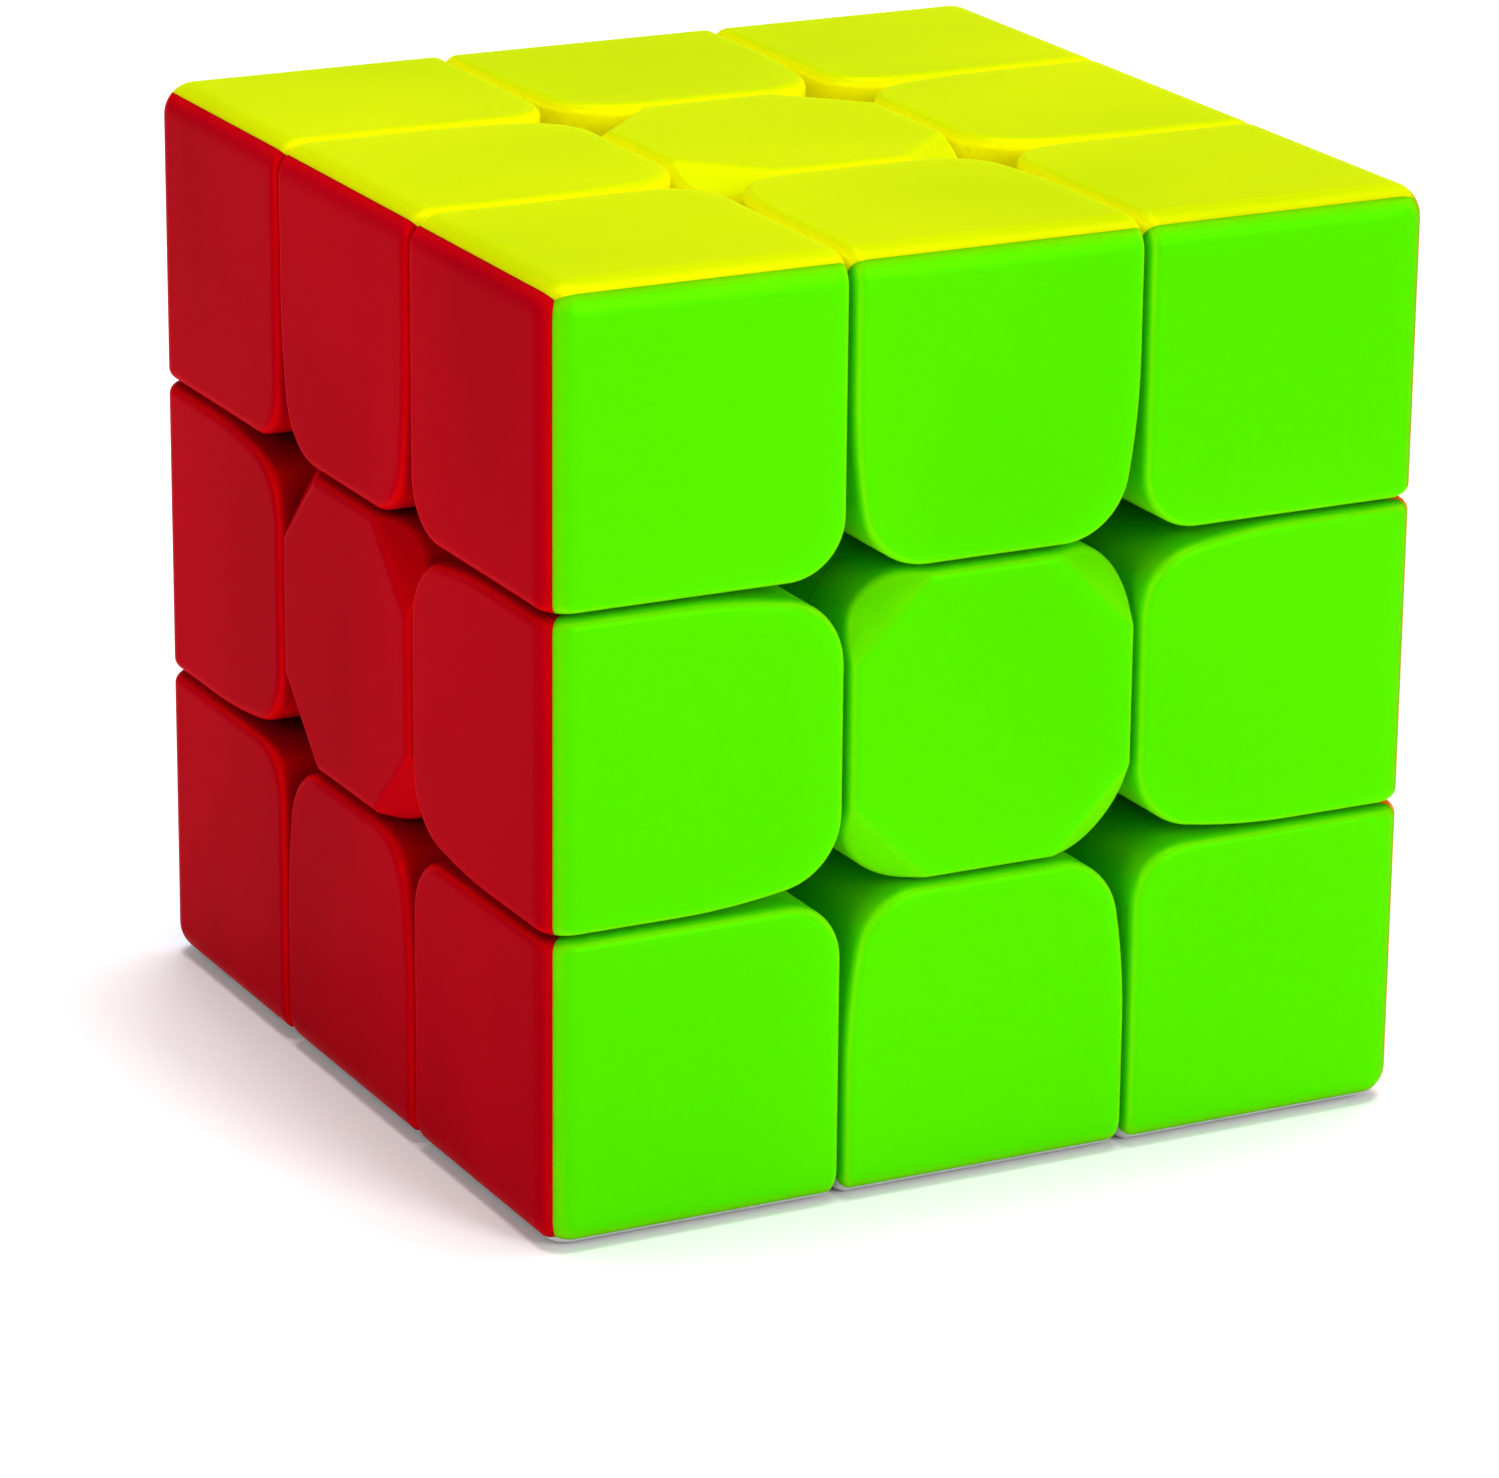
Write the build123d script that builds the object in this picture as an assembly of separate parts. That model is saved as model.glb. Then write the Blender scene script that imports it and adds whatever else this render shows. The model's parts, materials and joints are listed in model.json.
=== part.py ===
from build123d import *
from math import atan2, cos, pi, sin, sqrt
import os

os.makedirs("parts", exist_ok=True)

# Overall cube, mm. Origin at the cube centre, +Z up, front face towards -Y.
CUBE_SIZE = 56.0
HALF = CUBE_SIZE / 2
CUT = CUBE_SIZE / 6
CLEARANCE = 0.3
INNER = CUT + CLEARANCE / 2
TILE_HALF = CUT - CLEARANCE / 2
TINY = 0.001

# Roundings of the visible blocks.
CUBE_EDGE_R = 2.0
TILE_RIM_R = 0.7
CORNER_TILE_R = 3.6
EDGE_TILE_R = 4.3
EDGE_SIDE_R = 40.0
EDGE_SIDE_START = 20.0
CENTRE_TILE_R = 4.2
FACET_LEG = 5.5
FACET_WIDTH = 2.15
FACET_DROP = 1.6
CENTRE_RIM_R = 0.7
CAVITY_R = 1.5

# Stepped surface of revolution that parts one turning layer from the rest.
ARM_R = 4.6
ARM_TOP = 7.0
GROOVE_Z = 4.9
HOOK_R = 11.4
HOOK_Z = 6.8
SHOULDER_R = 15.2
FAR = 60.0
BALL_R = 20.0

# Hollow insides of the coloured pieces.
SKIN = 1.7
INNER_WALL = 2.0
CAVITY_START = INNER + INNER_WALL
CAVITY_END = HALF - SKIN
CAVITY_HALF = TILE_HALF - SKIN

# Centre base, cap and bore.
STEM_R = 4.4
STEM_RISE = 0.6
STEM_TOP = HOOK_R + STEM_RISE
STEM_FLOOR = 1.6
CAP_SEAM_Z = 22.0
SEAM_GAP = 0.1
WELL_FLOOR = 17.0
BORE_R = 2.9
SCREW_HOLE_R = 1.5

# Core.
CORE_BALL_R = 6.4
CORE_ARM_R = 4.4
CORE_ARM_TOP = ARM_TOP - CLEARANCE / 2

# Tension screw, washer and spring along the screw axis.
SHANK_R = 1.2
SCREW_TIP = 2.2
WASHER_Z = 14.2
WASHER_T = 0.5
WASHER_R = 2.6
WASHER_HOLE_R = 1.3
HEAD_R = 2.5
HEAD_H = 1.9
HEAD_ROUND = 0.5
CROSS_LENGTH = 2.8
CROSS_WIDTH = 0.6
CROSS_DEPTH = 1.1
SPRING_LIFT = 0.2
SPRING_R = 2.2
WIRE_R = 0.25
SPRING_TURNS = 5

# Each face: its colour, and the rotation that carries the up face onto it.
FACES = {
    "up": ("yellow", Rotation(0, 0, 0)),
    "down": ("white", Rotation(180, 0, 0)),
    "front": ("green", Rotation(90, 0, 0)),
    "back": ("blue", Rotation(-90, 0, 0)),
    "left": ("red", Rotation(0, -90, 0)),
    "right": ("orange", Rotation(0, 90, 0)),
}
QUARTER_TURNS = [Rotation(0, 0, angle) for angle in (0, 90, 180, 270)]


def span_box(x_span, y_span, z_span):
    """Box between two limits along each axis."""
    spans = [x_span, y_span, z_span]
    middle = [(low + high) / 2 for low, high in spans]
    return Pos(*middle) * Box(*[high - low for low, high in spans])


def edges_at(shape, point):
    """Edges of the shape that end at a point."""
    target = Vector(*point)
    return [e for e in shape.edges() if any((Vector(*v) - target).length < TINY for v in e.vertices())]


def layer_zone(grow):
    """Space of the up layer, its stepped underside and walls moved out by grow."""
    step = [
        (0, ARM_TOP - grow),
        (ARM_R - grow, ARM_TOP - grow),
        (ARM_R - grow, GROOVE_Z - grow),
        (HOOK_R + grow, GROOVE_Z - grow),
        (HOOK_R + grow, HOOK_Z - grow),
        (SHOULDER_R + grow, HOOK_Z - grow),
        (SHOULDER_R + grow, CUT - grow),
        (FAR, CUT - grow),
        (FAR, FAR),
        (0, FAR),
    ]
    outline = make_face(Polyline(*step, close=True))
    return revolve(Plane.XZ * outline, Axis.Z)


def corner_block():
    """Outer block of the up-front-left corner piece."""
    block = span_box((-HALF, -INNER), (-HALF, -INNER), (INNER, HALF))
    block = fillet(edges_at(block, (-INNER, -INNER, INNER)), CORNER_TILE_R)
    block = fillet(edges_at(block, (-HALF, -HALF, HALF)), CUBE_EDGE_R)
    rim = []
    for edge in block.edges():
        near, _, far = sorted(abs(value) for value in edge.position_at(0.5))
        if near < INNER + CORNER_TILE_R and far > HALF - CUBE_EDGE_R:
            rim.append(edge)
    return fillet(rim, TILE_RIM_R)


def edge_outline():
    """Plan of an edge tile: straight at the cube edge, tapered and rounded inward."""
    side_x = TILE_HALF - EDGE_SIDE_R
    reach = EDGE_SIDE_R - EDGE_TILE_R
    nose_y = -INNER - EDGE_TILE_R
    rise = nose_y + EDGE_SIDE_START
    nose_x = side_x + sqrt(reach**2 - rise**2)
    turn = atan2(rise, nose_x - side_x)

    def on_side(angle):
        return side_x + EDGE_SIDE_R * cos(angle), EDGE_SIDE_R * sin(angle) - EDGE_SIDE_START

    def on_nose(angle):
        return nose_x + EDGE_TILE_R * cos(angle), nose_y + EDGE_TILE_R * sin(angle)

    half = Curve() + [
        Line((0, -HALF), (TILE_HALF, -HALF)),
        Line((TILE_HALF, -HALF), (TILE_HALF, -EDGE_SIDE_START)),
        ThreePointArc(on_side(0), on_side(turn / 2), on_side(turn)),
        ThreePointArc(on_nose(turn), on_nose((turn + pi / 2) / 2), on_nose(pi / 2)),
        Line((nose_x, -INNER), (0, -INNER)),
    ]
    return make_face(half + mirror(half, Plane.YZ))


def edge_block():
    """Outer block of the up-front edge piece."""
    upright = extrude(edge_outline(), HALF, dir=(0, 0, 1))
    swap = mirror(upright, Plane((0, 0, 0), x_dir=(1, 0, 0), z_dir=(0, 1, 1)))
    block = upright & swap & span_box((-HALF, HALF), (-HALF, -INNER), (INNER, HALF))
    long_edge = [e for e in block.edges() if (e.position_at(0.5) - Vector(0, -HALF, HALF)).length < TINY]
    block = fillet(long_edge, CUBE_EDGE_R)
    rim = []
    for edge in block.edges():
        across, near, far = [abs(value) for value in edge.position_at(0.5)]
        near, far = sorted((near, far))
        beside = across > TILE_HALF - EDGE_TILE_R / 2
        if far > HALF - CUBE_EDGE_R and (beside or near < INNER + EDGE_TILE_R / 2):
            rim.append(edge)
    return fillet(rim, TILE_RIM_R)


def centre_block():
    """Rounded square block of the up centre with a soft bevel facet at each top corner."""
    block = span_box((-TILE_HALF, TILE_HALF), (-TILE_HALF, TILE_HALF), (INNER, HALF))
    block = fillet(block.edges().filter_by(Axis.Z), CENTRE_TILE_R)
    chord = (2 * TILE_HALF - FACET_LEG) / sqrt(2)
    run = chord + FACET_WIDTH * FAR / FACET_DROP
    facet = [(chord, HALF), (run, HALF - FAR), (run, HALF)]
    wedge = extrude(Plane.XZ * make_face(Polyline(*facet, close=True)), FAR, both=True)
    for quarter in QUARTER_TURNS:
        block -= quarter * Rotation(0, 0, 45) * wedge
    lowest = HALF - 2 * FACET_DROP
    rim = [edge for edge in block.edges() if edge.position_at(0.5).Z > lowest]
    return fillet(rim, CENTRE_RIM_R)


def zones(names, grow):
    """Layer zones of the named faces, joined."""
    return [FACES[name][1] * layer_zone(grow) for name in names]


def settle(block, inside, outside):
    """Give an outer block its hidden neck and foot and keep it within its own layers."""
    body = block + Sphere(BALL_R)
    for zone in zones(inside, -CLEARANCE / 2):
        body &= zone
    for zone in zones(outside, CLEARANCE / 2):
        body -= zone
    return body


def rounded_cavity(x_span, y_span, z_span):
    """Hollow with rounded edges."""
    room = span_box(x_span, y_span, z_span)
    return fillet(room.edges(), CAVITY_R)


def corner_shell():
    """Up-facing third of the up-front-left corner piece."""
    body = settle(corner_block(), ["up", "front", "left"], [])
    hollow = (-CAVITY_END, -CAVITY_START)
    body -= rounded_cavity(hollow, hollow, (CAVITY_START, CAVITY_END))
    return body & corner_third()


def corner_third():
    """Space above both diagonal planes that part a corner piece into thirds."""
    peak = [(0, 0, 0), (-FAR, 0, FAR), (-FAR, -FAR, FAR), (0, -FAR, FAR), (0, 0, FAR)]
    tip, left, middle, front, above = [Vector(*point) for point in peak]
    walls = [
        [tip, left, middle],
        [tip, middle, front],
        [tip, above, left],
        [tip, front, above],
        [above, front, middle, left],
    ]
    return Solid(Shell([Face(Wire.make_polygon(wall, close=True)) for wall in walls]))


def edge_shell():
    """Up-facing half of the up-front edge piece."""
    body = settle(edge_block(), ["up", "front"], ["left", "right"])
    hollow = (-CAVITY_END, -CAVITY_START)
    body -= rounded_cavity((-CAVITY_HALF, CAVITY_HALF), hollow, (CAVITY_START, CAVITY_END))
    half = make_face(Polyline((0, 0), (-FAR, FAR), (0, FAR), close=True))
    return body & extrude(Plane.YZ * half, FAR, both=True)


def centre():
    """Base and cap of the up centre."""
    body = settle(centre_block(), ["up"], ["front", "back", "left", "right"])
    above_stem = Pos(0, 0, STEM_TOP + FAR / 2) * Box(FAR, FAR, FAR)
    body &= above_stem + Pos(0, 0, FAR / 2) * Cylinder(STEM_R, FAR)
    well = (-CAVITY_HALF, CAVITY_HALF)
    body -= rounded_cavity(well, well, (WELL_FLOOR, CAVITY_END))
    floor = ARM_TOP + CLEARANCE / 2 + STEM_FLOOR
    body -= upright(BORE_R, floor, WELL_FLOOR + CAVITY_R)
    body -= upright(SCREW_HOLE_R, 0, floor)
    body -= Pos(0, 0, CAP_SEAM_Z) * Box(FAR, FAR, SEAM_GAP)
    return body


def upright(radius, low, high):
    """Cylinder on the Z axis between two heights."""
    return Pos(0, 0, (low + high) / 2) * Cylinder(radius, high - low)


def core():
    """Ball with six arms, each drilled for its screw."""
    body = Sphere(CORE_BALL_R)
    for _, turn in FACES.values():
        body += turn * upright(CORE_ARM_R, 0, CORE_ARM_TOP)
    for _, turn in FACES.values():
        body -= turn * upright(SHANK_R, SCREW_TIP, FAR)
    return body


def screw():
    """Cross-head tension screw of the up face."""
    seat = WASHER_Z + WASHER_T
    head = upright(HEAD_R, seat, seat + HEAD_H)
    head = fillet(head.edges().sort_by(Axis.Z)[-1], HEAD_ROUND)
    top = seat + HEAD_H - CROSS_DEPTH / 2
    for length, width in ((CROSS_LENGTH, CROSS_WIDTH), (CROSS_WIDTH, CROSS_LENGTH)):
        head -= Pos(0, 0, top) * Box(length, width, CROSS_DEPTH)
    return head + upright(SHANK_R, SCREW_TIP, seat)


def washer():
    """Washer between screw head and spring."""
    high = WASHER_Z + WASHER_T
    return upright(WASHER_R, WASHER_Z, high) - upright(WASHER_HOLE_R, WASHER_Z, high)


def spring():
    """Compression spring between the stem floor and the washer."""
    low = ARM_TOP + CLEARANCE / 2 + STEM_FLOOR + SPRING_LIFT + WIRE_R
    height = WASHER_Z - WIRE_R - low
    coil = Pos(0, 0, low) * Helix(height / SPRING_TURNS, height, SPRING_R)
    section = Plane(coil @ 0, z_dir=coil % 0) * Circle(WIRE_R)
    return sweep(section, coil)


def save(shape, name):
    """Write one node."""
    export_step(shape, f"parts/{name}.step")


def on_all_faces(shape):
    """Six copies of an up-face piece, one per face."""
    return Compound([solid for _, turn in FACES.values() for solid in (turn * shape).solids()])


def place_name(shape):
    """Name of a place from the signs of its centre."""
    point = shape.center(CenterOf.BOUNDING_BOX)
    places = [(point.Z, "up", "down"), (-point.Y, "front", "back"), (-point.X, "left", "right")]
    words = [plus if value > 0 else minus for value, plus, minus in places if abs(value) > CUT]
    return "_".join(words)


def main():
    save(core(), "core")
    save(on_all_faces(screw()), "tension_screws")
    save(on_all_faces(washer()), "washers")
    save(on_all_faces(spring()), "springs")
    shells = (("corner", corner_shell()), ("edge", edge_shell()))
    hub = centre()
    for face, (colour, turn) in FACES.items():
        save(turn * hub, f"centre_{face}_{colour}")
        for kind, shell in shells:
            for quarter in QUARTER_TURNS:
                placed = turn * quarter * shell
                save(placed, f"{kind}_{place_name(placed)}_{colour}_shell")


main()
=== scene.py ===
import json
from math import cos, sin

import bpy
from mathutils import Matrix, Vector

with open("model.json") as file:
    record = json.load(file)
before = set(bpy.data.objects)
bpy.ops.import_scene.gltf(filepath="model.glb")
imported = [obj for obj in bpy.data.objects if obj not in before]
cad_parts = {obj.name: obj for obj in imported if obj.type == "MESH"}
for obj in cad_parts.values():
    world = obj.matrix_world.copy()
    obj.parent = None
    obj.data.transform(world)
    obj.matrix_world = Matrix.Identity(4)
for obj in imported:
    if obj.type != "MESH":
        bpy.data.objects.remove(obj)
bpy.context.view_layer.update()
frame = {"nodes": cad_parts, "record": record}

# Scene frame: metres, cube centre at the origin, +Z up, front face towards -Y.
HALF = 0.028

# Camera: angles in radians about the cube, distance and target in metres, lens and sensor in mm.
CAM_AZIMUTH = -0.47247
CAM_ELEVATION = 0.32379
CAM_DISTANCE = 0.39466
CAM_ROLL = 0.0095
CAM_TARGET = Vector((-0.0013, 0.0, -0.0096))
CAM_LENS = 156.43
CAM_SENSOR = 36.0
CAM_CLIP = (0.01, 50.0)

# Linear colours of each plastic as chosen: flat tile, deeper patch, brighter rounded rim.
# The third colour of each, on the rounded rims, is a painted highlight.
PLASTICS = {
    "green_plastic": ((0.076, 0.65, 0.0), (0.065, 0.61, 0.0), (0.18, 0.75, 0.0)),
    "red_plastic": ((0.41, 0.0, 0.006), (0.33, 0.0, 0.005), (0.66, 0.001, 0.001)),
    "yellow_plastic": ((0.455, 0.545, 0.0), (0.375, 0.50, 0.0), (0.61, 0.64, 0.0)),
    "blue_plastic": ((0.015, 0.006, 0.78), (0.012, 0.005, 0.66), (0.05, 0.03, 0.92)),
    "white_plastic": ((0.55, 0.54, 0.535), (0.51, 0.50, 0.50), (0.61, 0.60, 0.60)),
    "orange_plastic": ((0.78, 0.20, 0.006), (0.70, 0.16, 0.005), (0.84, 0.28, 0.016)),
    "core_plastic": ((0.58, 0.57, 0.55), (0.50, 0.49, 0.47), (0.64, 0.63, 0.61)),
}
# Axis the coloured face looks along, and the lighter colour painted on its side walls as painted light in
# the gaps and holes.
PAINTED_WALL_LIGHT = {"yellow_plastic": ("Z", (0.93, 0.89, 0.0))}
STEEL_DULL = (0.52, 0.53, 0.56)
STEEL_BRIGHT = (0.70, 0.71, 0.72)
CARD = (0.95, 0.95, 0.955)
CARD_MOTTLE = (0.93, 0.93, 0.935)

# Plastic finish, tuned and not measured ABS: reflection levels, then how much
# and how far (m) light scatters inside.
GLOSS = 0.002
TINTED_GLOSS = 0.09
TINT_LIFT = 0.02
SOFTNESS = 0.6
SOFT_REACH = 0.0035
SOFT_LIFT = 0.25

# Bump heights, m, and strengths.
GRAIN_HEIGHT = 0.000004
GRAIN_STRENGTH = 0.6
TURNING_HEIGHT = 0.00002
TURNING_STRENGTH = 0.5

# Middle band of a noise that its remapping stretches out.
MID_BAND = (0.3, 0.7)
FULL = (0.0, 1.0)

# Studio: floor size and drop below the cube, and lamps as place, size (m) and power (W).
FLOOR_SIZE = 12.0
FLOOR_DROP = 0.00005
WORLD_STRENGTH = 0.32
LAMPS = {
    "top_box": ((0.2, 0.1, 2.0), 1.2, 48.0),
    "front_box": ((0.45, -1.3, 0.55), 0.5, 11.2),
    "left_box": ((-1.3, -0.5, 0.7), 0.35, 3.4),
}


def new_material(name):
    """Empty node material with its node tree and principled shader."""
    mat = bpy.data.materials.new(name)
    mat.use_nodes = True
    tree = mat.node_tree
    return mat, tree, tree.nodes["Principled BSDF"]


def noise(tree, scale, detail, rough=0.55, stretch=(1.0, 1.0, 1.0), distortion=0.0):
    """Noise in metres of the object's own space, stretched along its axes."""
    node = tree.nodes.new("ShaderNodeTexNoise")
    node.inputs["Scale"].default_value = scale
    node.inputs["Detail"].default_value = detail
    node.inputs["Roughness"].default_value = rough
    node.inputs["Distortion"].default_value = distortion
    mapping = tree.nodes.new("ShaderNodeMapping")
    mapping.inputs["Scale"].default_value = stretch
    place = tree.nodes.new("ShaderNodeTexCoord").outputs["Object"]
    tree.links.new(place, mapping.inputs["Vector"])
    tree.links.new(mapping.outputs["Vector"], node.inputs["Vector"])
    return node.outputs["Fac"]


def remap(tree, source, span_in, span_out):
    """Carry one span of values onto another, clamped at its ends."""
    node = tree.nodes.new("ShaderNodeMapRange")
    names = ("From Min", "From Max", "To Min", "To Max")
    for name, value in zip(names, (*span_in, *span_out)):
        node.inputs[name].default_value = value
    tree.links.new(source, node.inputs["Value"])
    return node.outputs["Result"]


def maths(tree, operation, first, second):
    """Arithmetic on two sockets."""
    node = tree.nodes.new("ShaderNodeMath")
    node.operation = operation
    tree.links.new(first, node.inputs[0])
    tree.links.new(second, node.inputs[1])
    return node.outputs["Value"]


def mix_colour(tree, factor, first, second):
    """Blend of two colours, each a socket or three numbers."""
    node = tree.nodes.new("ShaderNodeMix")
    node.data_type = "RGBA"
    tree.links.new(factor, node.inputs["Factor"])
    for name, value in (("A", first), ("B", second)):
        socket = [s for s in node.inputs if s.name == name and s.type == "RGBA"][0]
        if hasattr(value, "links"):
            tree.links.new(value, socket)
        else:
            socket.default_value = (*value, 1.0)
    return [s for s in node.outputs if s.type == "RGBA"][0]


def bump(tree, height, distance, strength, shader):
    """Raise the shader's surface by a height."""
    node = tree.nodes.new("ShaderNodeBump")
    node.inputs["Distance"].default_value = distance
    node.inputs["Strength"].default_value = strength
    tree.links.new(height, node.inputs["Height"])
    tree.links.new(node.outputs["Normal"], shader.inputs["Normal"])


def facing(tree, axis):
    """1 where the surface squarely faces along an axis of the object, 0 beside it."""
    split = tree.nodes.new("ShaderNodeSeparateXYZ")
    normal = tree.nodes.new("ShaderNodeTexCoord").outputs["Normal"]
    tree.links.new(normal, split.inputs["Vector"])
    node = tree.nodes.new("ShaderNodeMath")
    node.operation = "ABSOLUTE"
    tree.links.new(split.outputs[axis], node.inputs[0])
    return node.outputs["Value"]


def rounding(tree):
    """0 on flat tiles and facets, rising to 1 where a rounded rim turns between faces; mask for the
    painted rim highlight.
    """
    x, y, z = [facing(tree, axis) for axis in "XYZ"]
    squarest = maths(tree, "MAXIMUM", maths(tree, "MAXIMUM", x, y), z)
    return remap(tree, squarest, (0.93, 0.74), FULL)


def plastic(name, base, deep, rim_highlight):
    """Satin plastic: faint tone patches, fine grain, scuffs, and a painted highlight of brighter colour
    on the rounded rims.
    """
    mat, tree, shader = new_material(name)
    flow = remap(tree, noise(tree, 38.0, 1.5, 0.4, (1.0, 1.6, 0.7), 0.4), MID_BAND, FULL)
    colour = mix_colour(tree, flow, base, deep)
    # Painted highlight: rounded rims take the brighter rim colour, its strength broken up by noise.
    highlight_patchiness = remap(tree, noise(tree, 160.0, 4.0), MID_BAND, (0.45, 0.85))
    colour = mix_colour(tree, maths(tree, "MULTIPLY", rounding(tree), highlight_patchiness), colour, rim_highlight)
    # Painted light: side walls down in the gaps and holes take a lighter colour.
    if name in PAINTED_WALL_LIGHT:
        axis, painted_wall_light = PAINTED_WALL_LIGHT[name]
        side = remap(tree, facing(tree, axis), (0.75, 0.25), FULL)
        colour = mix_colour(tree, side, colour, painted_wall_light)
    speck = remap(tree, noise(tree, 2600.0, 1.0), (0.62, 0.80), (0.0, 0.25))
    colour = mix_colour(tree, speck, colour, deep)
    tree.links.new(colour, shader.inputs["Base Color"])
    cloud = remap(tree, noise(tree, 90.0, 2.0), MID_BAND, (0.28, 0.34))
    scuff = noise(tree, 420.0, 5.0, 0.6, (1.0, 14.0, 5.0), 0.3)
    scuff = remap(tree, scuff, (0.60, 0.85), (0.0, 0.08))
    tree.links.new(maths(tree, "ADD", cloud, scuff), shader.inputs["Roughness"])
    bump(tree, noise(tree, 2400.0, 3.0), GRAIN_HEIGHT, GRAIN_STRENGTH, shader)
    tint = [min(1.0, TINT_LIFT + level) for level in rim_highlight]
    shader.inputs["Specular IOR Level"].default_value = GLOSS
    shader.inputs["Specular Tint"].default_value = (*tint, 1.0)
    shader.inputs["Metallic"].default_value = TINTED_GLOSS
    shader.inputs["Subsurface Weight"].default_value = SOFTNESS
    shader.inputs["Subsurface Radius"].default_value = [SOFT_REACH * (SOFT_LIFT + level) for level in rim_highlight]
    shader.inputs["Subsurface Scale"].default_value = 1.0
    return mat


def steel(name):
    """Zinc-plated steel with turning marks."""
    mat, tree, shader = new_material(name)
    tone = remap(tree, noise(tree, 700.0, 4.0), MID_BAND, FULL)
    tree.links.new(mix_colour(tree, tone, STEEL_DULL, STEEL_BRIGHT), shader.inputs["Base Color"])
    polish = remap(tree, noise(tree, 1800.0, 3.0), MID_BAND, (0.22, 0.42))
    tree.links.new(polish, shader.inputs["Roughness"])
    shader.inputs["Metallic"].default_value = 1.0
    turning = noise(tree, 2600.0, 3.0, 0.6, (1.0, 1.0, 8.0))
    bump(tree, turning, TURNING_HEIGHT, TURNING_STRENGTH, shader)
    return mat


def floor_material():
    """Matt white card, faintly mottled."""
    mat, tree, shader = new_material("floor_card")
    tone = remap(tree, noise(tree, 3.0, 3.0), MID_BAND, FULL)
    tree.links.new(mix_colour(tree, tone, CARD, CARD_MOTTLE), shader.inputs["Base Color"])
    shader.inputs["Roughness"].default_value = 0.9
    shader.inputs["Specular IOR Level"].default_value = 0.1
    return mat


def dress(materials):
    """Give every CAD piece its plastic or steel."""
    slots = {part["node"]: part["material_slot"] for part in frame["record"]["subparts"]}
    for name, piece in frame["nodes"].items():
        piece.data.materials.clear()
        piece.data.materials.append(materials[slots[name]])
        piece.data.polygons.foreach_set("material_index", [0] * len(piece.data.polygons))


def floor():
    """Plain card under the cube."""
    mesh = bpy.data.meshes.new("floor")
    s = FLOOR_SIZE / 2
    corners = [(-s, -s, 0), (s, -s, 0), (s, s, 0), (-s, s, 0)]
    mesh.from_pydata(corners, [], [(0, 1, 2, 3)])
    mesh.materials.append(floor_material())
    plane = bpy.data.objects.new("floor", mesh)
    plane.location.z = -HALF - FLOOR_DROP
    bpy.context.scene.collection.objects.link(plane)


def soft_light(name, place, size, power):
    """Square softbox looking at the cube's centre."""
    data = bpy.data.lights.new(name, "AREA")
    data.shape = "SQUARE"
    data.size = size
    data.energy = power
    lamp = bpy.data.objects.new(name, data)
    lamp.location = place
    lamp.rotation_mode = "QUATERNION"
    lamp.rotation_quaternion = (-Vector(place)).to_track_quat("-Z", "Y")
    bpy.context.scene.collection.objects.link(lamp)


def studio():
    """Even white surroundings and the softboxes."""
    world = bpy.data.worlds.new("studio")
    world.use_nodes = True
    sky = world.node_tree.nodes["Background"]
    sky.inputs["Color"].default_value = (1.0, 1.0, 1.0, 1.0)
    sky.inputs["Strength"].default_value = WORLD_STRENGTH
    bpy.context.scene.world = world
    for name, (place, size, power) in LAMPS.items():
        soft_light(name, place, size, power)


def camera():
    """Long lens looking slightly down on the front and left faces."""
    data = bpy.data.cameras.new("camera")
    data.sensor_fit = "HORIZONTAL"
    data.sensor_width = CAM_SENSOR
    data.lens = CAM_LENS
    data.clip_start, data.clip_end = CAM_CLIP
    cam = bpy.data.objects.new("camera", data)
    back = Vector((
        cos(CAM_ELEVATION) * sin(CAM_AZIMUTH),
        -cos(CAM_ELEVATION) * cos(CAM_AZIMUTH),
        sin(CAM_ELEVATION),
    ))
    side = Vector((0, 0, 1)).cross(back).normalized()
    up = back.cross(side)
    c, s = cos(CAM_ROLL), sin(CAM_ROLL)
    side, up = c * side + s * up, c * up - s * side
    spin = Matrix((side, up, back)).transposed().to_4x4()
    cam.matrix_world = Matrix.Translation(CAM_TARGET + CAM_DISTANCE * back) @ spin
    bpy.context.scene.collection.objects.link(cam)
    bpy.context.scene.camera = cam


made = {name: plastic(name, *tones) for name, tones in PLASTICS.items()}
made["steel"] = steel("steel")
dress(made)
floor()
studio()
camera()
bpy.context.scene.view_settings.view_transform = "Standard"
